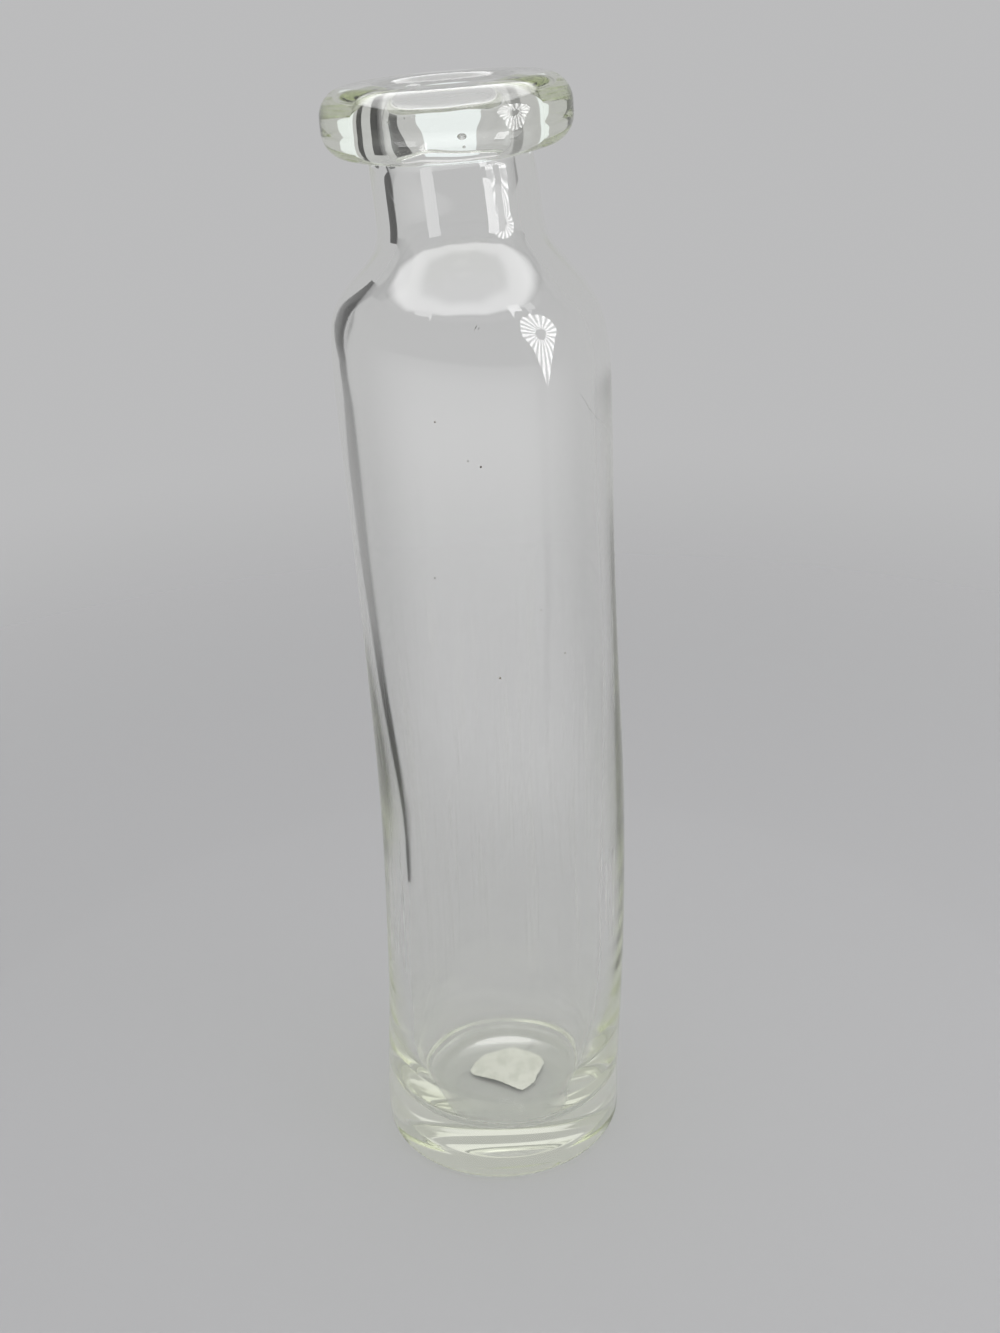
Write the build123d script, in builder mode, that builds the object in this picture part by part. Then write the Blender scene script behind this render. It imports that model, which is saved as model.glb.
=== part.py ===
from build123d import *
from math import cos, radians, sin
import os

# Hand-blown clear glass bottle vase: a heavy-based bottle, a glass collar laid round the end of
# its neck, and the torn remnant of a paper label in the hollow of its underside.
# The origin is the centre of the foot, on the surface that the vase stands on. +Z is up.

# Driving dimensions, in millimetres and degrees

# Foot and base
foot_radius = 37.5
heel_round = 2.5
foot_height = 8.0
base_thickness = 13.0
recess_radius = 22.5
recess_depth = 2.7
recess_side = 1.5
recess_back = 3.0

# Body, shoulder and neck, outside
waist_radius = 36.1
shoulder_radius = 36.7
neck_radius = 21.0
shoulder_height = 240.0
lip_seat_height = 301.0

# Glass thickness, measured level
lower_wall = 7.4
waist_wall = 4.0
shoulder_wall = 3.3
neck_wall = 5.0

# Inside of the base
floor_radius = 26.5
floor_corner = 5.5

# Hand-made crookedness: the body bows to one side, and the neck leans to the other
bow = 3.4
neck_lean = 3.1
lip_tilt = 2.2

# Lip collar and mouth
lip_radius = 31.5
lip_height = 17.0
lip_lower_round = 7.0
lip_upper_round = 7.2
lip_seat_radius = 20.6
mouth_radius = 16.0
mouth_round = 2.6

# Paper label remnant
label_width = 27.0
label_length = 24.0
label_thickness = 0.2
label_side = 2.0
label_back = 6.1

# The body in even steps from the foot to the shoulder. Up to the waist: share of the way from the
# foot's radius to the waist's, share of the way from the waist's wall to the lower wall, share of
# the bow
lower_shares = [
    (0.00, 1.60, 0.00),
    (0.27, 1.30, 0.44),
    (0.41, 1.00, 0.81),
    (0.57, 0.90, 1.00),
    (0.75, 0.60, 0.99),
    (0.91, 0.20, 0.76),
    (1.00, 0.00, 0.52),
]
# Above the waist: share of the way from the waist to the shoulder in radius and in wall, share of
# the bow
upper_shares = [
    (0.37, 0.45, 0.29),
    (1.00, 1.00, 0.09),
]
# The shoulder and neck in even steps from the shoulder to the lip's seat: share of the way in to
# the neck's radius, the same for the bore, share of the way from the shoulder's side to the neck's
# lean, share of the lip's tilt
neck_shares = [
    (0.00, 0.00, 0.00, 0.00),
    (0.01, 0.00, 0.07, -0.15),
    (0.04, 0.05, 0.16, -0.35),
    (0.16, 0.22, 0.25, -0.45),
    (0.50, 0.60, 0.26, 0.00),
    (0.89, 0.91, 0.35, 0.55),
    (0.99, 0.99, 0.53, 0.70),
    (1.00, 1.00, 0.73, 0.80),
]
# Torn outline of the label, as shares of its width and length from its middle
label_shares = [
    (-0.50, -0.01), (-0.44, 0.18), (-0.31, 0.36), (-0.12, 0.43), (0.08, 0.50),
    (0.29, 0.37), (0.44, 0.23), (0.50, 0.07), (0.38, -0.19), (0.34, -0.33),
    (0.18, -0.50), (0.00, -0.36), (-0.18, -0.23), (-0.33, -0.16), (-0.46, -0.09),
]


def ring_plane(height, side, tilt=0.0):
    """Plane of one round section, whose normal leans towards -X as its +X side is tilted up."""
    lean = radians(tilt)
    return Plane(
        origin=(side, 0, height),
        x_dir=(cos(lean), 0, sin(lean)),
        z_dir=(-sin(lean), 0, cos(lean)),
    )


def between(start, end, share):
    return start + (end - start) * share


# Round sections of the body: plane, outer radius, inner radius
body_steps = len(lower_shares) + len(upper_shares) - 1
body_sections = []
for step, (radius_share, wall_share, bow_share) in enumerate(lower_shares):
    height = between(foot_height, shoulder_height, step / body_steps)
    radius = between(foot_radius, waist_radius, radius_share)
    wall = between(waist_wall, lower_wall, wall_share)
    body_sections.append((ring_plane(height, bow * bow_share), radius, radius - wall))
for step, (radius_share, wall_share, bow_share) in enumerate(upper_shares, len(lower_shares)):
    height = between(foot_height, shoulder_height, step / body_steps)
    radius = between(waist_radius, shoulder_radius, radius_share)
    wall = between(waist_wall, shoulder_wall, wall_share)
    body_sections.append((ring_plane(height, bow * bow_share), radius, radius - wall))

# Round sections of the shoulder and neck, the last one at the lip's seat
shoulder_side = bow * upper_shares[-1][2]
neck_sections = []
for step, (outer_share, inner_share, side_share, tilt_share) in enumerate(neck_shares):
    height = between(shoulder_height, lip_seat_height, step / len(neck_shares))
    side = between(shoulder_side, -neck_lean, side_share)
    outer = between(shoulder_radius, neck_radius, outer_share)
    inner = between(shoulder_radius - shoulder_wall, neck_radius - neck_wall, inner_share)
    neck_sections.append((ring_plane(height, side, lip_tilt * tilt_share), outer, inner))
lip_plane = ring_plane(lip_seat_height, -neck_lean, lip_tilt)
neck_sections.append((lip_plane, lip_seat_radius, mouth_radius))

# The hollow starts above the rounded corner of its floor
corner_height = base_thickness + floor_corner
corner_side = bow * lower_shares[1][2] * corner_height / body_sections[1][0].origin.Z
corner_plane = ring_plane(corner_height, corner_side)
floor_plane = ring_plane(base_thickness, corner_side)

# The underside's hollow is a shallow cap of this ball
dome_radius = (recess_radius**2 + recess_depth**2) / (2 * recess_depth)
dome_centre = (recess_side, recess_back, recess_depth - dome_radius)

# Bottle body
with BuildPart() as bottle_body:
    # Foot with its rounded heel
    with BuildSketch(Plane.XZ):
        with BuildLine():
            Line((0, 0), (foot_radius - heel_round, 0))
            RadiusArc(
                (foot_radius - heel_round, 0),
                (foot_radius, heel_round),
                -heel_round,
            )
            Line((foot_radius, heel_round), (foot_radius, foot_height))
            Line((foot_radius, foot_height), (0, foot_height))
            Line((0, foot_height), (0, 0))
        make_face()
    revolve(axis=Axis.Z)

    # Body, shoulder and neck
    for plane, outer, inner in body_sections:
        with BuildSketch(plane):
            Circle(outer)
    loft()
    for plane, outer, inner in neck_sections:
        with BuildSketch(plane):
            Circle(outer)
    loft()

    # Hollow, from above the floor's corner to the neck's end
    with BuildSketch(corner_plane):
        Circle(floor_radius)
    for plane, outer, inner in body_sections[1:]:
        with BuildSketch(plane):
            Circle(inner)
    loft(mode=Mode.SUBTRACT)
    for plane, outer, inner in neck_sections:
        with BuildSketch(plane):
            Circle(inner)
    loft(mode=Mode.SUBTRACT)

    # Floor of the hollow with its rounded corner
    with BuildSketch(Plane(origin=floor_plane.origin, x_dir=(1, 0, 0), z_dir=(0, -1, 0))):
        with BuildLine():
            Line((0, 0), (floor_radius - floor_corner, 0))
            RadiusArc(
                (floor_radius - floor_corner, 0),
                (floor_radius, floor_corner),
                -floor_corner,
            )
            Line((floor_radius, floor_corner), (0, floor_corner))
            Line((0, floor_corner), (0, 0))
        make_face()
    revolve(axis=Axis(floor_plane.origin, (0, 0, 1)), mode=Mode.SUBTRACT)

    # Shallow hollow in the underside
    with Locations(dome_centre):
        Sphere(dome_radius, mode=Mode.SUBTRACT)

    # Neck end inside the collar, with the rounded mouth
    with BuildSketch(Plane(origin=lip_plane.origin, x_dir=lip_plane.x_dir, z_dir=(0, -1, 0))):
        with BuildLine():
            Line((mouth_radius, 0), (mouth_radius, lip_height - mouth_round))
            RadiusArc(
                (mouth_radius, lip_height - mouth_round),
                (mouth_radius + mouth_round, lip_height),
                mouth_round,
            )
            Line((mouth_radius + mouth_round, lip_height), (lip_seat_radius, lip_height))
            Line((lip_seat_radius, lip_height), (lip_seat_radius, 0))
            Line((lip_seat_radius, 0), (mouth_radius, 0))
        make_face()
    revolve(axis=Axis(lip_plane.origin, lip_plane.z_dir))

bottle_body.part.label = "bottle_body"

# Lip collar, laid round the neck's end
with BuildPart() as lip_collar:
    with BuildSketch(Plane(origin=lip_plane.origin, x_dir=lip_plane.x_dir, z_dir=(0, -1, 0))):
        with BuildLine():
            Line((lip_seat_radius, 0), (lip_radius - lip_lower_round, 0))
            RadiusArc(
                (lip_radius - lip_lower_round, 0),
                (lip_radius, lip_lower_round),
                -lip_lower_round,
            )
            Line((lip_radius, lip_lower_round), (lip_radius, lip_height - lip_upper_round))
            RadiusArc(
                (lip_radius, lip_height - lip_upper_round),
                (lip_radius - lip_upper_round, lip_height),
                -lip_upper_round,
            )
            Line((lip_radius - lip_upper_round, lip_height), (lip_seat_radius, lip_height))
            Line((lip_seat_radius, lip_height), (lip_seat_radius, 0))
        make_face()
    revolve(axis=Axis(lip_plane.origin, lip_plane.z_dir))

lip_collar.part.label = "lip_collar"

# Label remnant, lying on the dome of the underside's hollow
with BuildPart() as label_remnant:
    with BuildSketch():
        with BuildLine():
            Polyline(
                [
                    (label_side + label_width * across, label_back + label_length * along)
                    for across, along in label_shares
                ],
                close=True,
            )
        make_face()
    extrude(amount=recess_depth)
    with Locations(dome_centre):
        Sphere(dome_radius, mode=Mode.INTERSECT)
    with Locations(dome_centre):
        Sphere(dome_radius - label_thickness, mode=Mode.SUBTRACT)

label_remnant.part.label = "label_remnant"

os.makedirs("parts", exist_ok=True)
export_step(bottle_body.part, "parts/bottle_body.step")
export_step(lip_collar.part, "parts/lip_collar.step")
export_step(label_remnant.part, "parts/label_remnant.step")
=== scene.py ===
import bpy
import math
import random
import numpy as np
from mathutils import Matrix, Vector, noise


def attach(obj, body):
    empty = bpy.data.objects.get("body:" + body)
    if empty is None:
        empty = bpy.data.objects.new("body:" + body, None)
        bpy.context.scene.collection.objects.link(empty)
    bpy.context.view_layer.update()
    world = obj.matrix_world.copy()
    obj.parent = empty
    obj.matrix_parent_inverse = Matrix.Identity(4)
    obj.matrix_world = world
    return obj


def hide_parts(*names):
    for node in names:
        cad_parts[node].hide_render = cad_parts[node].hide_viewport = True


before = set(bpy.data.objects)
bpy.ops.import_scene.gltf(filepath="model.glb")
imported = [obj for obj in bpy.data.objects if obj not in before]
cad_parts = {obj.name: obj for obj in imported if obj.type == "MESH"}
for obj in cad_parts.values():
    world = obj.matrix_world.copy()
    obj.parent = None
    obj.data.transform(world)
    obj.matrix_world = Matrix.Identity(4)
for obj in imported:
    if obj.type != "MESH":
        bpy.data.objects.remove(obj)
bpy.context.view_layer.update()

MM = 0.001
# points of each ring of the glass
AROUND = 224

# Camera
CAMERA_PLACE = (0.004268, -0.40574, 0.34727)
CAMERA_PITCH = math.radians(24.975)
CAMERA_YAW = math.radians(0.017)
CAMERA_ROLL = math.radians(-2.268)
CAMERA_LENS = 41.86


def make_camera():
    data = bpy.data.cameras.new("camera")
    data.lens = CAMERA_LENS
    data.sensor_width = 36.0
    data.clip_start = 0.01
    data.clip_end = 50.0
    ahead = Vector((
        math.sin(CAMERA_YAW) * math.cos(CAMERA_PITCH),
        math.cos(CAMERA_YAW) * math.cos(CAMERA_PITCH),
        -math.sin(CAMERA_PITCH),
    ))
    right = Vector((math.cos(CAMERA_YAW), -math.sin(CAMERA_YAW), 0.0))
    up = right.cross(ahead)
    right_rolled = right * math.cos(CAMERA_ROLL) + up * math.sin(CAMERA_ROLL)
    up_rolled = up * math.cos(CAMERA_ROLL) - right * math.sin(CAMERA_ROLL)
    camera = bpy.data.objects.new("camera", data)
    camera.matrix_world = Matrix((
        (right_rolled.x, up_rolled.x, -ahead.x, CAMERA_PLACE[0]),
        (right_rolled.y, up_rolled.y, -ahead.y, CAMERA_PLACE[1]),
        (right_rolled.z, up_rolled.z, -ahead.z, CAMERA_PLACE[2]),
        (0.0, 0.0, 0.0, 1.0),
    ))
    bpy.context.scene.collection.objects.link(camera)
    bpy.context.scene.camera = camera


make_camera()


# Node helpers
def new_material(name):
    material = bpy.data.materials.new(name)
    material.use_nodes = True
    tree = material.node_tree
    tree.nodes.clear()
    return material, tree


def node(tree, kind, **settings):
    made = tree.nodes.new(kind)
    for key, value in settings.items():
        setattr(made, key, value)
    return made


def math_node(tree, operation, *values):
    """Output of a math node. Each value is a number or the output of another node."""
    made = node(tree, "ShaderNodeMath", operation=operation)
    for slot, value in zip(made.inputs, values):
        if isinstance(value, (int, float)):
            slot.default_value = value
        else:
            tree.links.new(value, slot)
    return made.outputs[0]


def ramp(tree, factor, stops):
    """Output of an eased colour ramp. Each stop is a place with a grey level or a colour."""
    made = node(tree, "ShaderNodeValToRGB")
    made.color_ramp.interpolation = "EASE"
    elements = made.color_ramp.elements
    while len(elements) > 1:
        elements.remove(elements[-1])
    for number, (position, level) in enumerate(stops):
        element = elements[0] if number == 0 else elements.new(position)
        element.position = position
        element.color = (*level, 1.0) if isinstance(level, tuple) else (level, level, level, 1.0)
    tree.links.new(factor, made.inputs[0])
    return made.outputs[0]


def noise_node(tree, coords, scale, detail=2.0):
    """Grey output of a noise texture over these coordinates."""
    made = node(tree, "ShaderNodeTexNoise")
    made.inputs["Scale"].default_value = scale
    made.inputs["Detail"].default_value = detail
    tree.links.new(coords, made.inputs["Vector"])
    return made.outputs["Fac"]


def object_coords(tree):
    return node(tree, "ShaderNodeTexCoord").outputs["Object"]


def split_coords(tree, coords):
    """The three outputs X, Y and Z of these coordinates."""
    made = node(tree, "ShaderNodeSeparateXYZ")
    tree.links.new(coords, made.inputs[0])
    return made.outputs


def length_of(tree, vector):
    made = node(tree, "ShaderNodeVectorMath", operation="LENGTH")
    tree.links.new(vector, made.inputs[0])
    return made.outputs["Value"]


def map_range(tree, value, start, end, kind="LINEAR"):
    """Output that goes from 0 to 1 while the value goes from start to end."""
    made = node(tree, "ShaderNodeMapRange", interpolation_type=kind)
    made.inputs["From Min"].default_value = start
    made.inputs["From Max"].default_value = end
    tree.links.new(value, made.inputs["Value"])
    return made.outputs[0]


def mix_shaders(tree, factor, first, second):
    """Output of the first shader where the factor is 0, and of the second where it is 1."""
    made = node(tree, "ShaderNodeMixShader")
    tree.links.new(factor, made.inputs[0])
    tree.links.new(first, made.inputs[1])
    tree.links.new(second, made.inputs[2])
    return made.outputs[0]


def surface(tree, shader):
    """Material output that shows this shader."""
    out = node(tree, "ShaderNodeOutputMaterial")
    tree.links.new(shader, out.inputs["Surface"])
    return out


def rough_material(name, roughness, stops, scale, detail=2.0):
    """Matt material whose colour follows a noise texture through a ramp."""
    material, tree = new_material(name)
    skin = node(tree, "ShaderNodeBsdfPrincipled")
    mottle = noise_node(tree, object_coords(tree), scale, detail)
    tree.links.new(ramp(tree, mottle, stops), skin.inputs["Base Color"])
    skin.inputs["Roughness"].default_value = roughness
    surface(tree, skin.outputs[0])
    return material


def glow_material(name, brightness, colour=(1.0, 1.0, 1.0)):
    """Material that only glows. Its brightness is a number, or a function that builds its nodes."""
    material, tree = new_material(name)
    glow = node(tree, "ShaderNodeEmission")
    glow.inputs["Color"].default_value = (*colour, 1.0)
    if callable(brightness):
        tree.links.new(brightness(tree), glow.inputs["Strength"])
    else:
        glow.inputs["Strength"].default_value = brightness
    surface(tree, glow.outputs[0])
    return material


# Mesh helpers
def new_object(name, points, faces, smooth=False):
    mesh = bpy.data.meshes.new(name)
    mesh.from_pydata(points, [], faces)
    if smooth:
        mesh.polygons.foreach_set("use_smooth", [True] * len(mesh.polygons))
    mesh.update()
    made = bpy.data.objects.new(name, mesh)
    bpy.context.scene.collection.objects.link(made)
    return made


def clamp(value):
    return min(max(value, 0.0), 1.0)


# Shape of the glass, in millimetres
FOOT_R, HEEL = 37.5, 2.5
FOOT_TOP, BODY_TOP, NECK_TOP = 8.0, 240.0, 298.6
RECESS_R, RECESS_DEPTH, RECESS_SIDE, RECESS_BACK = 22.5, 2.7, 1.5, 3.0
BASE, CORNER, FLOOR_R = 13.0, 5.5, 26.5
LIP_BASE, LIP_SIDE, LIP_TILT = 301.0, -3.1, 2.2
LIP_R, LIP_H, LIP_LOW, LIP_TOP = 31.5, 17.0, 7.0, 7.2
SEAT_R, MOUTH_R, MOUTH_ROUND = 20.6, 16.0, 2.6
# radius of the small hollow round between neck and lip
NECK_HOLLOW = 1.3
# the inside of the base stands aside by this much, and eases over to the body's own side up to
# this height
FLOOR_SIDE, FLOOR_SIDE_TOP = 0.76, 45.0
# the dome of the underside ends here in a soft rim, and the rings outside it are centred on the
# foot from this radius on
RECESS_EDGE, RIM_SOFTNESS, CENTRED_R = 24.5, 0.02, 34.0

# height, outer radius, inner radius or 0 where the base is solid, side, tilt in degrees
SECTIONS = np.array([
    (0.0, FOOT_R, 0.0, 0.0, 0.0),
    (FOOT_TOP, FOOT_R, 0.0, 0.0, 0.0),
    (37.0, 37.12, 28.7, 1.5, 0.0),
    (66.0, 36.93, 29.5, 2.75, 0.0),
    (95.0, 36.7, 29.6, 3.4, 0.0),
    (124.0, 36.45, 30.4, 3.37, 0.0),
    (153.0, 36.23, 31.5, 2.58, 0.0),
    (182.0, 36.1, 32.1, 1.77, 0.0),
    (211.0, 36.32, 32.6, 0.99, 0.0),
    (BODY_TOP, 36.7, 33.4, 0.31, 0.0),
    (247.6, 36.6, 33.4, 0.06, -0.33),
    (255.3, 36.07, 32.5, -0.25, -0.77),
    (262.9, 34.2, 29.6, -0.55, -1.0),
    (270.5, 28.85, 23.0, -0.6, 0.0),
    (278.1, 22.73, 17.6, -0.9, 1.2),
    (285.8, 21.16, 16.2, -1.5, 1.5),
    (293.4, 21.0, 16.0, -2.2, 1.76),
    (LIP_BASE, SEAT_R, MOUTH_R, LIP_SIDE, LIP_TILT),
])
# height and inner radius
INNER = np.array(
    [(BASE + CORNER, FLOOR_R), (25.0, 27.5), (31.0, 28.25)] + [(s[0], s[2]) for s in SECTIONS[2:]]
)

# where the rings of the mesh lie: start, end and step of each stretch
UNDER_RADII = [(0.6, 20.4, 1.1), (21.0, 25.0, 0.4), (26.0, 34.5, 1.4)]
OUTER_HEIGHTS = [(3.5, FOOT_TOP, 1.5), (11.0, BODY_TOP, 3.5), (BODY_TOP + 1.0, NECK_TOP, 0.95)]
INNER_HEIGHTS = [(300.0, BODY_TOP + 1.0, 0.95), (238.0, BASE + CORNER + 3.0, 3.5)]
LIP_STEP, TOP_STEP, BORE_STEP, FLOOR_STEP = 0.9, 1.2, 1.5, 1.4
# how near the rings come to the bore's lower end and to the middle of the floor
BORE_END, FLOOR_END = 1.0, 0.7


def smooth_curve(xs, ys):
    """Natural cubic through given points."""
    n = len(xs)
    h = np.diff(xs)
    a = np.zeros((n, n))
    b = np.zeros(n)
    a[0, 0] = a[-1, -1] = 1.0
    for i in range(1, n - 1):
        a[i, i - 1], a[i, i], a[i, i + 1] = h[i - 1], 2 * (h[i - 1] + h[i]), h[i]
        b[i] = 3 * ((ys[i + 1] - ys[i]) / h[i] - (ys[i] - ys[i - 1]) / h[i - 1])
    c = np.linalg.solve(a, b)

    def value(x):
        i = int(min(max(np.searchsorted(xs, x) - 1, 0), n - 2))
        d = x - xs[i]
        slope = (ys[i + 1] - ys[i]) / h[i] - h[i] * (2 * c[i] + c[i + 1]) / 3
        return ys[i] + slope * d + c[i] * d * d + (c[i + 1] - c[i]) / (3 * h[i]) * d**3

    return value


outer_radius = smooth_curve(SECTIONS[:, 0], SECTIONS[:, 1])
side_at = smooth_curve(SECTIONS[:, 0], SECTIONS[:, 3])
tilt_at = smooth_curve(SECTIONS[:, 0], SECTIONS[:, 4])
inner_radius = smooth_curve(INNER[:, 0], INNER[:, 1])


def steps_between(low, high, step):
    return np.linspace(low, high, max(2, int(round(abs(high - low) / step)) + 1))


def steps_through(stretches):
    return [value for stretch in stretches for value in steps_between(*stretch)]


def lip_ring(radius, up):
    """Ring of the lip at this distance up its own axis."""
    lean = math.radians(LIP_TILT)
    return (radius, LIP_SIDE - math.sin(lean) * up, 0.0, LIP_BASE + math.cos(lean) * up, LIP_TILT)


def arc(centre_r, centre_h, size, start, end, steps):
    for k in range(1, steps + 1):
        angle = math.radians(start + (end - start) * k / steps)
        yield centre_r + size * math.cos(angle), centre_h + size * math.sin(angle)


def dome_at(r):
    """Height of the underside at this distance from the dome's middle."""
    if r >= RECESS_EDGE:
        return 0.0
    bulge = RECESS_DEPTH * (1 - (r / RECESS_R) ** 2)
    return 0.5 * (bulge + math.sqrt(bulge * bulge + RIM_SOFTNESS))


def inner_side_at(z):
    if z > FLOOR_SIDE_TOP:
        return side_at(z)
    return FLOOR_SIDE + (side_at(z) - FLOOR_SIDE) * (z - BASE) / (FLOOR_SIDE_TOP - BASE)


def glass_rings():
    """Rings from the middle of the underside, up the outside, over the lip and down to the middle
    of the floor: radius, side, back, height, tilt, and a share that is 1 on the inside."""
    rings = []

    def add(ring, inside):
        rings.append((*ring, inside))

    for r in steps_through(UNDER_RADII):
        ease = clamp((r - RECESS_R) / (CENTRED_R - RECESS_R))
        add((r, RECESS_SIDE * (1 - ease), RECESS_BACK * (1 - ease), dome_at(r), 0.0), 0.0)
    for r, h in arc(FOOT_R - HEEL, HEEL, HEEL, -90, 0, 10):
        add((r, 0.0, 0.0, h, 0.0), 0.0)
    for z in steps_through(OUTER_HEIGHTS):
        add((outer_radius(z), side_at(z), 0.0, z, tilt_at(z)), 0.0)
    for r, h in arc(SEAT_R + NECK_HOLLOW, -NECK_HOLLOW, NECK_HOLLOW, 180, 90, 6):
        add(lip_ring(r, h), 0.0)
    for r, h in arc(LIP_R - LIP_LOW, LIP_LOW, LIP_LOW, -90, 0, 16):
        add(lip_ring(r, h), 0.0)
    for h in steps_between(LIP_LOW + LIP_STEP, LIP_H - LIP_TOP - LIP_STEP, LIP_STEP):
        add(lip_ring(LIP_R, h), 0.0)
    for r, h in arc(LIP_R - LIP_TOP, LIP_H - LIP_TOP, LIP_TOP, 0, 90, 16):
        add(lip_ring(r, h), 0.0)
    for r in steps_between(LIP_R - LIP_TOP - TOP_STEP, MOUTH_R + MOUTH_ROUND, TOP_STEP):
        add(lip_ring(r, LIP_H), 0.0)
    for r, h in arc(MOUTH_R + MOUTH_ROUND, LIP_H - MOUTH_ROUND, MOUTH_ROUND, 90, 180, 8):
        add(lip_ring(r, h), 1.0)
    for h in steps_between(LIP_H - MOUTH_ROUND - BORE_STEP, BORE_END, BORE_STEP):
        add(lip_ring(MOUTH_R, h), 1.0)
    for z in steps_through(INNER_HEIGHTS):
        add((inner_radius(z), inner_side_at(z), 0.0, z, tilt_at(z)), 1.0)
    for r, h in arc(FLOOR_R - CORNER, BASE + CORNER, CORNER, 0, -90, 12):
        add((r, FLOOR_SIDE, 0.0, h, 0.0), 1.0)
    for r in steps_between(FLOOR_R - CORNER - FLOOR_STEP, FLOOR_END, FLOOR_STEP):
        add((r, FLOOR_SIDE, 0.0, BASE, 0.0), 1.0)
    return rings


# Unevenness of the inner surface: size in millimetres, waves round the vase, turn, and the height
# over which the wave turns by one radian
RIPPLES = [(0.20, 2, 0.7, 70.0), (0.10, 3, -1.1, -40.0), (0.05, 5, 2.0, 23.0)]
# the ripple dies out inside this radius, and is half as strong in the lip
RIPPLE_FADE_R, LIP_RIPPLE = 12.0, 0.5


def ripple(angle, height):
    return sum(
        size * math.sin(waves * angle + turn + height / rise) for size, waves, turn, rise in RIPPLES
    )


# uneven places of the bore where the collar was laid on: angle in degrees, height, spread round in
# degrees, spread up, size
BORE_BUMPS = [
    (-96.0, 311.0, 26.0, 2.6, 0.9),
    (-104.0, 305.5, 13.0, 2.0, -0.7),
    (-74.0, 306.5, 12.0, 2.6, -0.6),
    (84.0, 309.0, 30.0, 3.0, 0.7),
]


def bore_bumps(angle, height):
    total = 0.0
    for where, level, spread, spread_up, size in BORE_BUMPS:
        gap = (math.degrees(angle) - where + 180) % 360 - 180
        total -= size * math.exp(-((gap / spread) ** 2) - ((height - level) / spread_up) ** 2)
    return total


# The hand-shaped shoulder sits higher at the front than at the sides: by how much, over which
# stretch it comes in above the body and goes out below the lip, and how narrow it is
FRONT_RISE, RISE_IN, RISE_OUT, RISE_POWER = 3.4, 24.0, 14.0, 1.3


def rise_at(angle, height):
    if height <= BODY_TOP or height >= NECK_TOP:
        return 0.0
    front = max(0.0, -math.sin(angle)) ** RISE_POWER
    coming_in = height < BODY_TOP + RISE_IN
    share = clamp((height - BODY_TOP) / RISE_IN if coming_in else (NECK_TOP - height) / RISE_OUT)
    return FRONT_RISE * front * share * share * (3 - 2 * share)


# the haze starts at this height and is full after this stretch, and the same towards its end
HAZE_START, HAZE_IN = 22.0, 20.0
HAZE_END, HAZE_OUT = 272.0, 10.0


def haze_at(height):
    """Haze on the inside of the body: none in the neck and on the floor."""
    return clamp((height - HAZE_START) / HAZE_IN) * clamp((HAZE_END - height) / HAZE_OUT)


def build_glass():
    rings = glass_rings()
    points, inner = [], []
    for radius, side, back, height, tilt, inside in rings:
        lean = math.radians(tilt)
        for k in range(AROUND):
            angle = 2 * math.pi * k / AROUND
            r = radius
            if inside:
                fade = min(radius / RIPPLE_FADE_R, 1.0)
                if height > LIP_BASE:
                    fade *= LIP_RIPPLE
                r += ripple(angle, height) * fade + bore_bumps(angle, height)
            x = side + r * math.cos(angle) * math.cos(lean)
            y = back + r * math.sin(angle)
            z = height + r * math.cos(angle) * math.sin(lean) + rise_at(angle, height)
            points.append((x * MM, y * MM, z * MM))
            inner.append(inside)
    faces = []
    for ring in range(len(rings) - 1):
        low, high = ring * AROUND, (ring + 1) * AROUND
        for k in range(AROUND):
            j = (k + 1) % AROUND
            faces.append((low + k, low + j, high + j, high + k))
    # the middles of the underside and of the floor close the skin
    for _, side, back, height, _, inside in (rings[0], rings[-1]):
        points.append((side * MM, back * MM, height * MM))
        inner.append(inside)
    last_ring = (len(rings) - 1) * AROUND
    for k in range(AROUND):
        j = (k + 1) % AROUND
        faces.append((len(points) - 2, j, k))
        faces.append((len(points) - 1, last_ring + k, last_ring + j))
    piece = new_object("glass_bottle", points, faces, smooth=True)
    haze = [inside * haze_at(point[2] / MM) for inside, point in zip(inner, points)]
    piece.data.attributes.new("haze", "FLOAT", "POINT").data.foreach_set("value", haze)
    return piece


# Glass material
GLASS_IOR = 1.52
# where the haze is full: roughness, and how much a dried streak covers
HAZE_ROUGHNESS, STREAK_COVER = 0.07, 0.22
# dried water streaks: noise scale across and along, and the levels between which a streak shows
WATER_STREAKS = [(170.0, 7.0, 0.54, 0.74), (420.0, 14.0, 0.56, 0.80)]
# how strong they are at each share of this height in metres: strongest in the lower half
STREAK_REACH = 0.25
STREAK_ZONE = [(0.22, 0.0), (0.36, 1.0), (0.60, 1.0), (0.74, 0.25), (0.96, 0.0)]


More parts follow.
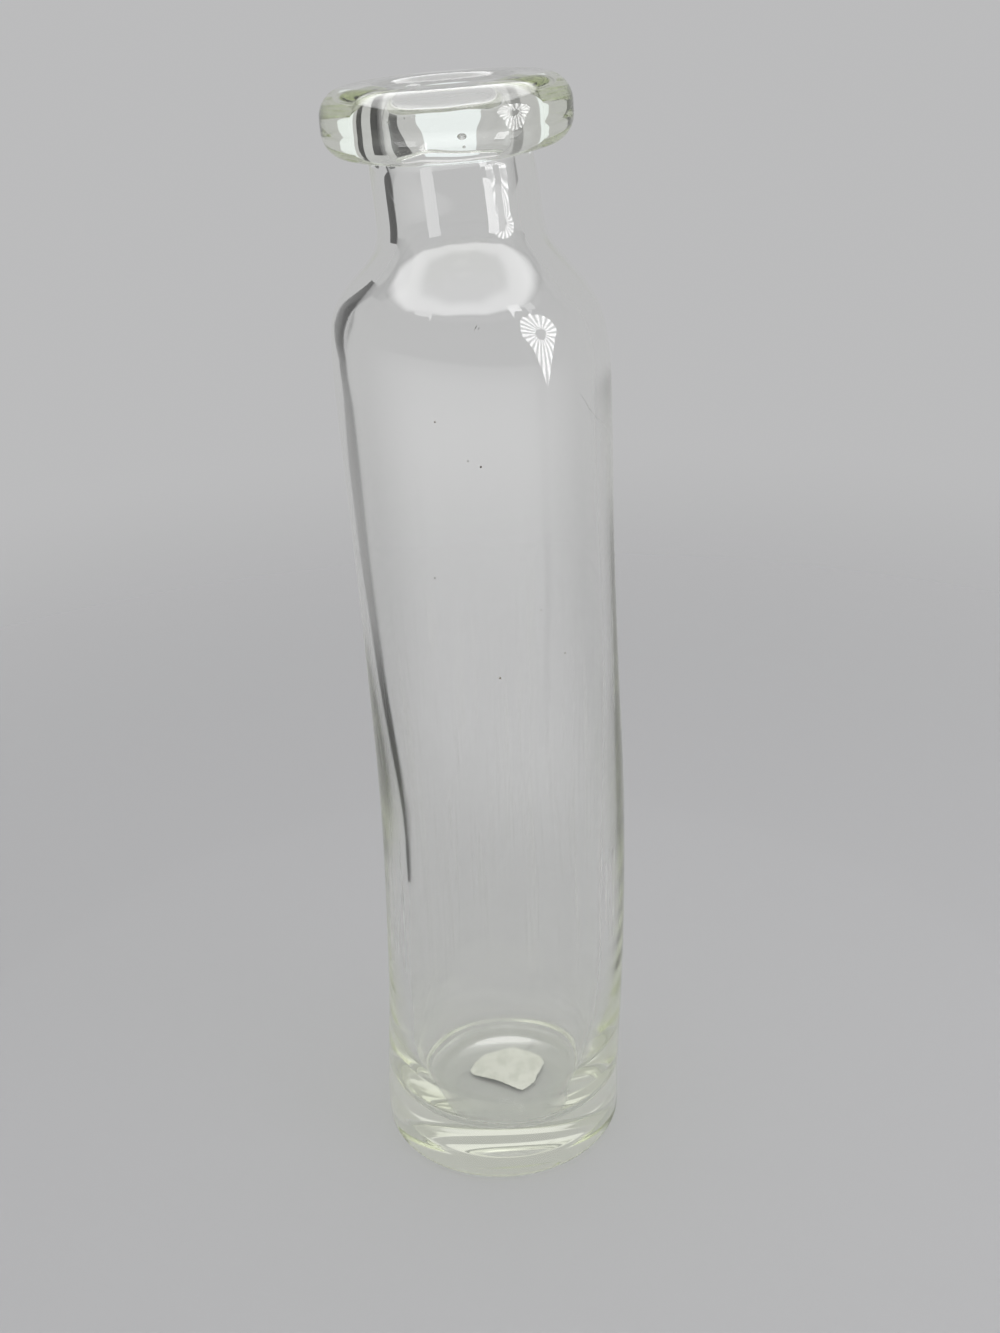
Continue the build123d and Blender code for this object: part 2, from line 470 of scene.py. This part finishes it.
def glass_material():
    material, tree = new_material("clear_glass")
    inside = node(tree, "ShaderNodeAttribute", attribute_name="haze").outputs["Fac"]
    glass = node(tree, "ShaderNodeBsdfPrincipled")
    glass.inputs["Base Color"].default_value = (1.0, 1.0, 1.0, 1.0)
    glass.inputs["IOR"].default_value = GLASS_IOR
    glass.inputs["Transmission Weight"].default_value = 1.0
    tree.links.new(math_node(tree, "MULTIPLY", inside, HAZE_ROUGHNESS), glass.inputs["Roughness"])
    # dried water streaks on the inside
    coords = object_coords(tree)
    layers = []
    for width, length, low, high in WATER_STREAKS:
        stretch = node(tree, "ShaderNodeMapping")
        stretch.inputs["Scale"].default_value = (width, width, length)
        tree.links.new(coords, stretch.inputs["Vector"])
        streaks = noise_node(tree, stretch.outputs[0], 1.0, detail=3.0)
        layers.append(ramp(tree, streaks, [(low, 0.0), (high, 1.0)]))
    lines = math_node(tree, "MAXIMUM", *layers)
    up = split_coords(tree, coords)["Z"]
    zone = ramp(tree, math_node(tree, "MULTIPLY", up, 1 / STREAK_REACH), STREAK_ZONE)
    film = math_node(tree, "MULTIPLY", math_node(tree, "MULTIPLY", lines, zone), inside)
    cover = math_node(tree, "MULTIPLY", film, STREAK_COVER)
    chalk = node(tree, "ShaderNodeBsdfDiffuse")
    chalk.inputs["Color"].default_value = (0.86, 0.86, 0.84, 1.0)
    marked = mix_shaders(tree, cover, glass.outputs[0], chalk.outputs[0])
    # light from the lamps passes the glass, so that the label and the floor under it are lit
    path = node(tree, "ShaderNodeLightPath")
    lit = math_node(tree, "MAXIMUM", path.outputs["Is Shadow Ray"], path.outputs["Is Diffuse Ray"])
    pane = node(tree, "ShaderNodeBsdfTransparent")
    pane.inputs["Color"].default_value = (0.965, 0.97, 0.96, 1.0)
    out = surface(tree, mix_shaders(tree, lit, marked, pane.outputs[0]))
    tint = node(tree, "ShaderNodeVolumeAbsorption")
    tint.inputs["Color"].default_value = (0.78, 0.85, 0.50, 1.0)
    tint.inputs["Density"].default_value = 4.2
    tree.links.new(tint.outputs[0], out.inputs["Volume"])
    return material


glass = build_glass()
glass.data.materials.append(glass_material())
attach(glass, "root")
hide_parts("bottle_body", "lip_collar")


# Label
def paper_material():
    stops = [(0.3, (0.70, 0.70, 0.66)), (0.62, (0.86, 0.85, 0.82))]
    return rough_material("label_paper", 0.85, stops, 260.0, detail=5.0)


# side and back of each corner, in millimetres
LABEL_OUTLINE = [
    (-11.4, 5.9), (-9.8, 10.3), (-6.4, 14.7), (-1.3, 16.5), (4.1, 18.2), (9.8, 15.0), (14.0, 11.5),
    (15.4, 7.8), (12.3, 1.6), (11.3, -1.7), (6.8, -5.8), (2.1, -2.6), (-2.8, 0.6), (-7.0, 2.3),
    (-10.4, 3.9),
]
# the paper's thickness, and its gap to the glass over it
LABEL_THICK, LABEL_GAP = 0.16, 0.02
# the rings of the paper's mesh, as shares of the way from its middle to its edge
LABEL_SHARES = (1.0, 0.985, 0.93, 0.8, 0.6, 0.4, 0.2)
# the torn edge: the length and depth of its fibres, and its share of the paper's thickness
TEAR_STEP, TEAR_DEPTH, TORN_THICK = 0.55, 0.16, 0.35
# wrinkles: depth, scale, place in the noise, and the share of the way out where they begin
WRINKLE, WRINKLE_SCALE, WRINKLE_PLACE, WRINKLE_EDGE = 0.05, 0.35, 3.0, 0.95


def torn_edge():
    """The label's outline with the fine unevenness of torn paper."""
    draw = random.Random(5)
    edge = []
    for start, end in zip(LABEL_OUTLINE, LABEL_OUTLINE[1:] + LABEL_OUTLINE[:1]):
        a, b = Vector(start), Vector(end)
        steps = max(2, int((b - a).length / TEAR_STEP))
        across = Vector((-(b - a).y, (b - a).x)).normalized()
        for k in range(steps):
            edge.append(a.lerp(b, k / steps) + across * draw.uniform(-TEAR_DEPTH, TEAR_DEPTH))
    return edge


def label_height(spot, share, top):
    """Height of the paper, which lies against the dome of the underside."""
    d = math.hypot(spot.x - RECESS_SIDE, spot.y - RECESS_BACK)
    roof = RECESS_DEPTH * (1 - (d / RECESS_R) ** 2) - LABEL_GAP
    if top:
        return roof
    thick = LABEL_THICK * (TORN_THICK if share == 1.0 else 1.0)
    where = Vector((spot.x * WRINKLE_SCALE, spot.y * WRINKLE_SCALE, WRINKLE_PLACE))
    wrinkle = WRINKLE * noise.noise(where) if share < WRINKLE_EDGE else 0.0
    return roof - (thick + wrinkle)


def build_label():
    edge = torn_edge()
    middle = sum(edge, Vector((0.0, 0.0))) / len(edge)
    points = []
    for top in (True, False):
        for share in LABEL_SHARES:
            for p in edge:
                spot = middle.lerp(p, share)
                points.append((spot.x * MM, spot.y * MM, label_height(spot, share, top) * MM))
    n = len(edge)
    rows = len(LABEL_SHARES)
    faces = []
    for base in (0, rows * n):
        side = []
        for row in range(rows - 1):
            a, b = base + row * n, base + (row + 1) * n
            for k in range(n):
                j = (k + 1) % n
                side.append((a + k, a + j, b + j, b + k))
        last = base + (rows - 1) * n
        side.append(tuple(range(last, last + n)))
        faces += [face[::-1] for face in side] if base else side
    for k in range(n):
        j = (k + 1) % n
        faces.append((k, rows * n + k, rows * n + j, j))
    return new_object("paper_label", points, faces, smooth=True)


label = build_label()
label.data.materials.append(paper_material())
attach(label, "root")
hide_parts("label_remnant")


# Marks on the glass and bubbles in it
FOCAL = 1550.0
PICTURE_MIDDLE = (500.0, 666.5)


def pixel_ray(x, y):
    """Start and direction of the line of sight through a pixel of the 1000 x 1333 picture."""
    view = bpy.context.scene.camera.matrix_world.to_3x3()
    towards = view @ Vector(((x - PICTURE_MIDDLE[0]) / FOCAL, (PICTURE_MIDDLE[1] - y) / FOCAL, -1.0))
    return Vector(CAMERA_PLACE), towards.normalized()


def on_glass(x, y):
    """Point and normal where the line of sight first meets the glass, and the line's direction."""
    start, towards = pixel_ray(x, y)
    _, place, normal, _ = glass.ray_cast(start, towards)
    return place, normal, towards


def axes_on(normal):
    """Level direction along the surface, and the direction up along it."""
    across = normal.cross(Vector((0.0, 0.0, 1.0))).normalized()
    return across, across.cross(normal).normalized()


def blob(points, faces, middle, axes, rows=6, spokes=10, wobble=0.0, draw=None, inward=False):
    """Adds one small closed ball, stretched along three axes, to the lists."""
    base = len(points)
    points.append(tuple(middle + axes[2]))
    for row in range(1, rows):
        lean = math.pi * row / rows
        for k in range(spokes):
            turn = 2 * math.pi * k / spokes
            size = 1.0 + (draw.uniform(-wobble, wobble) if draw else 0.0)
            offset = axes[0] * math.sin(lean) * math.cos(turn) + axes[1] * math.sin(lean) * math.sin(turn)
            points.append(tuple(middle + (offset + axes[2] * math.cos(lean)) * size))
    points.append(tuple(middle - axes[2]))
    last = len(points) - 1
    made = []
    for k in range(spokes):
        j = (k + 1) % spokes
        made.append((base, base + 1 + k, base + 1 + j))
        for row in range(rows - 2):
            a, b = base + 1 + row * spokes, base + 1 + (row + 1) * spokes
            made.append((a + k, b + k, b + j, a + j))
        end = base + 1 + (rows - 2) * spokes
        made.append((last, end + j, end + k))
    faces.extend(face[::-1] if inward else face for face in made)


def finish_piece(name, points, faces, material):
    piece = new_object(name, points, faces, smooth=True)
    piece.data.materials.append(material)
    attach(piece, "root")
    return piece


# Dust specks
def dust_material():
    stops = [(0.35, (0.05, 0.045, 0.035)), (0.65, (0.20, 0.15, 0.09))]
    return rough_material("dust", 0.9, stops, 1500.0)


# pixel of the picture, size in millimetres
SPECKS = [
    (435, 422, 0.30), (468, 461, 0.24), (481, 467, 0.34), (435, 578, 0.26), (565, 653, 0.30),
    (500, 678, 0.36), (452, 520, 0.14), (520, 560, 0.16), (541, 610, 0.18), (476, 742, 0.15),
]
# a speck's width against the table's; then, as shares of it, its least length, its thickness and
# how far its middle stands out
SPECK_SCALE, SPECK_SHORT, SPECK_THICK, SPECK_RISE = 1.6, 0.6, 0.3, 0.2


def build_specks():
    draw = random.Random(11)
    points, faces = [], []
    for x, y, size in SPECKS:
        place, normal, _ = on_glass(x, y)
        across, along = axes_on(normal)
        half = size * MM / 2 * SPECK_SCALE
        length = along * half * draw.uniform(SPECK_SHORT, 1.0)
        axes = (across * half, length, normal * half * SPECK_THICK)
        blob(points, faces, place + normal * half * SPECK_RISE, axes, wobble=0.3, draw=draw)
    return finish_piece("dust_specks", points, faces, dust_material())


# Scratches
def scratch_material():
    stops = [(0.4, (0.16, 0.16, 0.15)), (0.62, (0.55, 0.55, 0.53))]
    return rough_material("scratch", 0.5, stops, 900.0)


# fine scratches, as pixels of the picture, with a width in millimetres
SCRATCHES = [
    ([(578, 391), (584, 399), (589, 408), (596, 417), (606, 427)], 0.10),
    ([(586, 401), (590, 414), (592, 421)], 0.05),
    ([(474, 331), (477, 325)], 0.22),
    ([(478, 330), (480, 326)], 0.16),
]
# points on each stretch of a track, and round the scratch
TRACK_STEPS, SCRATCH_SIDES = 6, 6
# a scratch thins towards its ends, down to this share of its width, and is half as deep as wide
SCRATCH_START, SCRATCH_END, SCRATCH_TIP, SCRATCH_DEPTH = 0.35, 0.3, 0.15, 0.5


def build_scratches():
    points, faces = [], []
    for track, width in SCRATCHES:
        fine = []
        for (xa, ya), (xb, yb) in zip(track, track[1:]):
            for k in range(TRACK_STEPS):
                fine.append((xa + (xb - xa) * k / TRACK_STEPS, ya + (yb - ya) * k / TRACK_STEPS))
        fine.append(track[-1])
        spots = [on_glass(x, y) for x, y in fine]
        base = len(points)
        for number, (place, normal, _) in enumerate(spots):
            before, after = spots[max(number - 1, 0)][0], spots[min(number + 1, len(spots) - 1)][0]
            along = (after - before).normalized()
            across = along.cross(normal).normalized()
            taper = math.sin(math.pi * (number + SCRATCH_START) / (len(spots) - SCRATCH_END))
            half = width * MM / 2 * max(taper, SCRATCH_TIP)
            for k in range(SCRATCH_SIDES):
                turn = 2 * math.pi * k / SCRATCH_SIDES
                level = across * half * math.cos(turn)
                points.append(tuple(place + level + normal * half * SCRATCH_DEPTH * math.sin(turn)))
        for number in range(len(spots) - 1):
            a, b = base + number * SCRATCH_SIDES, base + (number + 1) * SCRATCH_SIDES
            for k in range(SCRATCH_SIDES):
                j = (k + 1) % SCRATCH_SIDES
                faces.append((a + k, a + j, b + j, b + k))
        end = base + (len(spots) - 1) * SCRATCH_SIDES
        faces.append(tuple(base + k for k in range(SCRATCH_SIDES))[::-1])
        faces.append(tuple(end + k for k in range(SCRATCH_SIDES)))
    return finish_piece("scratches", points, faces, scratch_material())


# Air bubbles
BUBBLE_BUMP, BUBBLE_BUMP_DEPTH = 0.1, 0.0001


def bubble_material():
    material, tree = new_material("bubble")
    skin = node(tree, "ShaderNodeBsdfPrincipled")
    skin.inputs["Roughness"].default_value = 0.0
    skin.inputs["IOR"].default_value = GLASS_IOR
    skin.inputs["Transmission Weight"].default_value = 1.0
    bump = node(tree, "ShaderNodeBump")
    bump.inputs["Strength"].default_value = BUBBLE_BUMP
    bump.inputs["Distance"].default_value = BUBBLE_BUMP_DEPTH
    tree.links.new(noise_node(tree, object_coords(tree), 700.0), bump.inputs["Height"])
    tree.links.new(bump.outputs[0], skin.inputs["Normal"])
    surface(tree, skin.outputs[0])
    return material


# pixel, depth under the surface, then width, height and thickness in millimetres
BUBBLES = [
    (462, 137, 5.0, 2.1, 1.2, 1.0), (464, 147, 5.0, 0.7, 0.5, 0.5), (388, 123, 3.0, 0.7, 0.6, 0.6),
    (404, 118, 3.5, 0.4, 0.4, 0.4), (520, 96, 3.0, 0.4, 0.4, 0.4), (395, 205, 2.2, 0.35, 0.6, 0.3),
]
# how much the line of sight is bent towards the normal as it enters the glass
BENT = 0.6


def build_bubbles():
    points, faces = [], []
    for x, y, depth, wide, high, thick in BUBBLES:
        place, normal, towards = on_glass(x, y)
        across, along = axes_on(normal)
        bent = (towards - normal * BENT).normalized()
        middle = place + bent * depth * MM
        axes = (across * wide * MM / 2, along * high * MM / 2, normal * thick * MM / 2)
        blob(points, faces, middle, axes, rows=10, spokes=16, inward=True)
    return finish_piece("air_bubbles", points, faces, bubble_material())


build_specks()
build_scratches()
build_bubbles()


# Stage
# brightness of the background as the camera and the glass see it, and of the light from it
PALE, WORLD_LIGHT = 0.50, 0.30
# points of each ring of the floor and the bounce sheet
SPOKES = 96


def add_rings(points, faces, radii, height):
    """Adds a flat sheet built of rings with these radii to the lists."""
    start = len(points)
    for reach in radii:
        for k in range(SPOKES):
            turn = 2 * math.pi * k / SPOKES
            points.append((reach * math.cos(turn), reach * math.sin(turn), height))
    for ring in range(len(radii) - 1):
        a, b = start + ring * SPOKES, start + (ring + 1) * SPOKES
        for k in range(SPOKES):
            j = (k + 1) % SPOKES
            faces.append((a + k, b + k, b + j, a + j))


# in metres: the floor lies just under the foot, and fades into the background between two distances
FLOOR_REACH, FLOOR_RINGS, FLOOR_DROP = 5.0, 60, 0.0002
FLOOR_FADE = (0.18, 0.75)


def floor_material():
    material, tree = new_material("floor_paper")
    paper = node(tree, "ShaderNodeBsdfPrincipled")
    paper.inputs["Base Color"].default_value = (0.50, 0.50, 0.51, 1.0)
    paper.inputs["Roughness"].default_value = 0.9
    paper.inputs["Specular IOR Level"].default_value = 0.2
    clear = node(tree, "ShaderNodeBsdfTransparent")
    place = node(tree, "ShaderNodeNewGeometry")
    fade = map_range(tree, length_of(tree, place.outputs["Position"]), *FLOOR_FADE, kind="SMOOTHSTEP")
    surface(tree, mix_shaders(tree, fade, paper.outputs[0], clear.outputs[0]))
    return material


def build_floor():
    points = [(0.0, 0.0, -FLOOR_DROP)]
    faces = [(0, 1 + k, 1 + (k + 1) % SPOKES) for k in range(SPOKES)]
    radii = [FLOOR_REACH * (ring / FLOOR_RINGS) ** 2 for ring in range(1, FLOOR_RINGS + 1)]
    add_rings(points, faces, radii, -FLOOR_DROP)
    floor = new_object("floor", points, faces)
    floor.data.materials.append(floor_material())


build_floor()


def make_world():
    world = bpy.data.worlds.new("studio")
    bpy.context.scene.world = world
    world.use_nodes = True
    tree = world.node_tree
    tree.nodes.clear()
    path = node(tree, "ShaderNodeLightPath")
    shown = node(tree, "ShaderNodeBackground")
    shown.inputs["Color"].default_value = (PALE, PALE, PALE * 1.01, 1.0)
    light = node(tree, "ShaderNodeBackground")
    light.inputs["Color"].default_value = (1.0, 1.0, 1.0, 1.0)
    light.inputs["Strength"].default_value = WORLD_LIGHT
    seen = math_node(tree, "MAXIMUM", path.outputs["Is Camera Ray"], path.outputs["Is Glossy Ray"])
    seen = math_node(tree, "MAXIMUM", seen, path.outputs["Is Transmission Ray"])
    out = node(tree, "ShaderNodeOutputWorld")
    tree.links.new(mix_shaders(tree, seen, light.outputs[0], shown.outputs[0]), out.inputs["Surface"])


make_world()


# Lamps, in metres
AIM = Vector((0.0, 0.0, 0.26))


def direction(right_of_front, elevation):
    """Direction from the vase: degrees to the right of the viewer's side, and up."""
    a, e = math.radians(right_of_front), math.radians(elevation)
    return Vector((math.sin(a) * math.cos(e), -math.cos(a) * math.cos(e), math.sin(e)))


def place_lamp(thing, towards, distance):
    thing.location = AIM + towards * distance
    thing.rotation_euler = (-towards).to_track_quat("-Z", "Y").to_euler()


def lamp_panel(name, outline, radiance, mirrored, through, pattern=None):
    """Flat glowing panel facing down its own -Z. mirrored and through are its brightness in
    reflections off the glass and in what is seen through the glass."""
    count = len(outline)
    points = [(0.0, 0.0, 0.0)] + [(x, y, 0.0) for x, y in outline]
    faces = [(0, 1 + (k + 1) % count, 1 + k) for k in range(count)]

    def brightness(tree):
        path = node(tree, "ShaderNodeLightPath")
        glossy, passing = path.outputs["Is Glossy Ray"], path.outputs["Is Transmission Ray"]
        strength = math_node(tree, "MULTIPLY_ADD", glossy, mirrored - radiance, radiance)
        if pattern:
            strength = math_node(tree, "MULTIPLY", strength, pattern(tree))
        # what is seen through the glass is even: strength + (through - strength) * share
        gap = math_node(tree, "SUBTRACT", through, strength)
        return math_node(tree, "MULTIPLY_ADD", passing, gap, strength)

    lamp = new_object(name, points, faces)
    lamp.data.materials.append(glow_material(name + "_light", brightness))
    lamp.visible_camera = False
    lamp.visible_shadow = False
    return lamp


def rectangle(width, height):
    corners = [(-1, -1), (1, -1), (1, 1), (-1, 1)]
    return [(width / 2 * across, height / 2 * along) for across, along in corners]


def octagon(radius):
    turns = [math.pi * (k + 0.5) / 4 for k in range(8)]
    return [(radius * math.cos(turn), radius * math.sin(turn)) for turn in turns]


# the umbrella's drop shape: radius and tail, then the height of its head against its radius, how
# full its sides are, and its steps
DROP_R, DROP_TAIL = 0.30, 0.34
DROP_HEAD, DROP_SIDES, DROP_STEPS = 1.5, 0.85, 24


def drop_outline(radius, tail):
    """Tall half circle above, drawn out to a point below."""
    points = []
    for k in range(DROP_STEPS + 1):
        turn = math.pi * k / DROP_STEPS
        points.append((radius * math.cos(turn), radius * DROP_HEAD * math.sin(turn)))
    for k in range(1, DROP_STEPS):
        share = k / DROP_STEPS
        points.append((-radius * (1 - share) ** DROP_SIDES, -tail * share))
    for k in range(DROP_STEPS, 0, -1):
        share = k / DROP_STEPS
        points.append((radius * (1 - share) ** DROP_SIDES, -tail * share))
    return points


# its ribs: their number, and the swing of the brightness about its mean
RIBS, RIB_SWING, RIB_MEAN = 21, 0.40, 0.62
# its dim hub
HUB_R, HUB_LEVEL = 0.084, 0.15


def ribs_pattern(tree):
    coords = object_coords(tree)
    place = split_coords(tree, coords)
    turn = math_node(tree, "ARCTAN2", place["Y"], place["X"])
    wave = math_node(tree, "SINE", math_node(tree, "MULTIPLY", turn, float(RIBS)))
    ribs = math_node(tree, "MULTIPLY_ADD", wave, RIB_SWING, RIB_MEAN)
    hub = math_node(tree, "GREATER_THAN", length_of(tree, coords), HUB_R)
    hub = math_node(tree, "MULTIPLY_ADD", hub, 1 - HUB_LEVEL, HUB_LEVEL)
    return math_node(tree, "MULTIPLY", ribs, hub)


# the panel over the vase, whose reflection is the shoulder's ring of light: radius, place and
# brightness at each share of the way out
OVERHEAD = 0.84
OVERHEAD_PLACE = (0.0, -0.04, 0.92)
RING_LEVELS = [(0.0, 0.5), (0.42, 0.5), (0.60, 0.95), (0.78, 1.0), (1.0, 0.0)]


def ring_pattern(tree):
    """Ring of eight straight sides, like the panel's outline."""
    place = split_coords(tree, object_coords(tree))
    across = math_node(tree, "ABSOLUTE", place["X"])
    along = math_node(tree, "ABSOLUTE", place["Y"])
    slant = math_node(tree, "MULTIPLY", math_node(tree, "ADD", across, along), math.sqrt(0.5))
    reach = math_node(tree, "MAXIMUM", math_node(tree, "MAXIMUM", across, along), slant)
    share = math_node(tree, "DIVIDE", reach, OVERHEAD * math.cos(math.pi / 8))
    return ramp(tree, share, RING_LEVELS)


umbrella = lamp_panel(
    "umbrella", drop_outline(DROP_R, DROP_TAIL), radiance=5.0, mirrored=12.0, through=0.6,
    pattern=ribs_pattern,
)
place_lamp(umbrella, direction(62.5, 8), 1.0)
fill = lamp_panel("fill_panel", rectangle(0.5, 0.4), radiance=1.4, mirrored=PALE, through=PALE)
place_lamp(fill, direction(-40, -4), 1.1)
fill.visible_glossy = False
fill.visible_transmission = False
overhead = lamp_panel(
    "overhead_octagon", octagon(OVERHEAD), radiance=2.3, mirrored=5.4, through=0.85,
    pattern=ring_pattern,
)
overhead.location = OVERHEAD_PLACE


# Cards beside the neck, in millimetres: side and back of their two upright edges, foot and top,
# how much higher the foot is at the first edge, and brightness in the glass
STREAK_CARDS = [
    ("streak_left", (-36.5, -47.5), (-24.0, -55.2), 280.5, 296.0, 2.0, 4.2),
    ("streak_right", (31.5, -51.0), (40.0, -45.0), 281.5, 300.0, 1.5, 7.5),
    ("streak_right_faint", (43.0, -42.5), (48.5, -36.0), 281.5, 298.0, 1.5, 2.8),
]
# how near the vase's axis the shelf under a card reaches, as a share of the card's distance
SHELF = 0.85


def streak_card(name, first_edge, second_edge, low, high, cut, mirrored):
    """Small glowing card beside the neck, seen only as a streak on it."""
    (xa, ya), (xb, yb) = first_edge, second_edge
    # the card, then a shelf under it that hides it from the shoulder
    corners = [(xa, ya, low + cut), (xb, yb, low), (xb, yb, high), (xa, ya, high)]
    corners += [(xb * SHELF, yb * SHELF, low), (xa * SHELF, ya * SHELF, low + cut)]
    points = [tuple(v * MM for v in corner) for corner in corners]
    card = new_object(name, points, [(0, 1, 2, 3), (0, 1, 4, 5)])
    card.data.materials.append(glow_material(name + "_light", mirrored))
    card.data.materials.append(glow_material(name + "_shelf", PALE))
    card.data.polygons[1].material_index = 1
    card.visible_camera = False
    card.visible_diffuse = False
    card.visible_shadow = False
    card.visible_transmission = False


for streak in STREAK_CARDS:
    streak_card(*streak)


# Dark flags beside the vase, seen only through the glass, which give it its dark lines:
# height, near edge, back edge, in millimetres, and grey
LEFT_FLAG = [
    (83, -8.5, -6.0, 0.02), (92, -8.8, -5.0, 0.01), (98, -10.5, -5.0, 0.01), (104, -12.0, -4.0, 0.01),
    (112, -9.0, -2.0, 0.01), (119, -8.0, 0.0, 0.01), (126, -6.0, 2.0, 0.01), (136, -5.0, 3.2, 0.01),
    (148, -4.0, 4.5, 0.02), (158, -4.0, 5.0, 0.10), (170, -4.0, 5.5, 0.20), (190, -3.0, 7.5, 0.26),
    (205, -3.5, 7.0, 0.27), (216, -4.0, 7.0, 0.26), (230, -4.5, 4.2, 0.24), (241, -4.0, 2.0, 0.20),
    (250, -3.0, 3.0, 0.14), (255, 0.0, 10.0, 0.10), (260, 2.0, 20.0, 0.06), (284, 5.0, 22.0, 0.05),
    (288, -8.0, 7.0, 0.05), (312, -9.0, 5.5, 0.05),
]
FLAG_SIDE = -45.0
# small ones for the lip alone: name, side, rows as above
LIP_FLAGS = [
    ("lip_flag_near", -36.0, [(293, 23.0, 42.0, 0.05), (314, 23.0, 42.0, 0.05)]),
    ("lip_flag_back", -45.0, [(294, 33.0, 54.0, 0.05), (322, 33.0, 54.0, 0.05)]),
    ("lip_flag_right", 45.0, [(292, -3.0, 12.0, 0.28), (325, -3.0, 12.0, 0.28)]),
]
# the flags are louvres of thin upright slats, so that they hardly show from the vase's other sides
SLAT_DEPTH = 2.2
SLAT_GAP = 0.8


def flag_grey(tree):
    return node(tree, "ShaderNodeAttribute", attribute_name="grey").outputs["Fac"]


def build_flag(name, away, rows):
    points, faces, greys = [], [], []
    for low, high in zip(rows, rows[1:]):
        count = max(2, round((low[2] - low[1] + high[2] - high[1]) / 2 / SLAT_GAP))
        for slat in range(count + 1):
            share = slat / count
            start = len(points)
            for height, near, back, grey in (low, high):
                along = near + (back - near) * share
                for depth in (-SLAT_DEPTH / 2, SLAT_DEPTH / 2):
                    points.append(((away + depth) * MM, along * MM, height * MM))
                    greys.append(grey)
            faces.append((start, start + 1, start + 3, start + 2))
    flag = new_object(name, points, faces)
    flag.data.attributes.new("grey", "FLOAT", "POINT").data.foreach_set("value", greys)
    flag.data.materials.append(glow_material(name + "_cloth", flag_grey))
    flag.visible_camera = False
    flag.visible_shadow = False
    flag.visible_diffuse = False
    flag.visible_glossy = False


build_flag("left_flag", FLAG_SIDE, LEFT_FLAG)
for lip_flag in LIP_FLAGS:
    build_flag(*lip_flag)


# Bright wall behind and above the vase, seen only through the thick lip, in metres
BACK_LEFT, BACK_RIGHT, BACK_LOW, BACK_HIGH, BACK_AWAY = -0.022, 0.018, 0.297, 0.345, 0.06
BACK_COLOUR, BACK_LEVEL = (0.93, 0.98, 1.0), 0.95


def build_back_panel():
    spans = [(BACK_LEFT, BACK_LOW), (BACK_RIGHT, BACK_LOW), (BACK_RIGHT, BACK_HIGH), (BACK_LEFT, BACK_HIGH)]
    panel = new_object("back_panel", [(x, BACK_AWAY, z) for x, z in spans], [(0, 1, 2, 3)])
    panel.data.materials.append(glow_material("back_panel_light", BACK_LEVEL, BACK_COLOUR))
    panel.visible_camera = False
    panel.visible_shadow = False
    panel.visible_diffuse = False
    panel.visible_glossy = False


build_back_panel()


# Bounce sheet on the floor, seen only mirrored in the glass: its soft veil on the body, in metres
SHEET_HEIGHT = 0.004
SHEET_NEAR, SHEET_FAR, SHEET_RINGS = 0.20, 3.0, 16
# share of the way out, brightness
SHEET_LEVELS = [(0.0, 0.5), (0.05, 2.0), (0.19, 2.5), (0.36, 2.2), (0.70, 1.5), (1.0, 0.6)]
# bright towards the viewer's side, as pale as the room at the sides and behind: it fades between
# these ratios of back to distance
SHEET_FADE = (0.15, -0.90)


def sheet_brightness(tree):
    coords = object_coords(tree)
    reach = length_of(tree, coords)
    levels = ramp(tree, map_range(tree, reach, SHEET_NEAR, SHEET_FAR), SHEET_LEVELS)
    back = math_node(tree, "DIVIDE", split_coords(tree, coords)["Y"], reach)
    front = map_range(tree, back, *SHEET_FADE, kind="SMOOTHSTEP")
    return math_node(tree, "MULTIPLY_ADD", math_node(tree, "SUBTRACT", levels, PALE), front, PALE)


def build_sheet():
    points, faces = [], []
    span = SHEET_FAR - SHEET_NEAR
    radii = [SHEET_NEAR + span * ring / SHEET_RINGS for ring in range(SHEET_RINGS + 1)]
    add_rings(points, faces, radii, SHEET_HEIGHT)
    sheet = new_object("bounce_sheet", points, faces)
    sheet.data.materials.append(glow_material("bounce_sheet_light", sheet_brightness))
    sheet.visible_camera = False
    sheet.visible_diffuse = False
    sheet.visible_shadow = False
    sheet.visible_transmission = False


build_sheet()


# Render settings
scene = bpy.context.scene
scene.view_settings.view_transform = "Standard"
scene.cycles.max_bounces = 36
scene.cycles.transmission_bounces = 32
scene.cycles.glossy_bounces = 28
scene.cycles.diffuse_bounces = 3
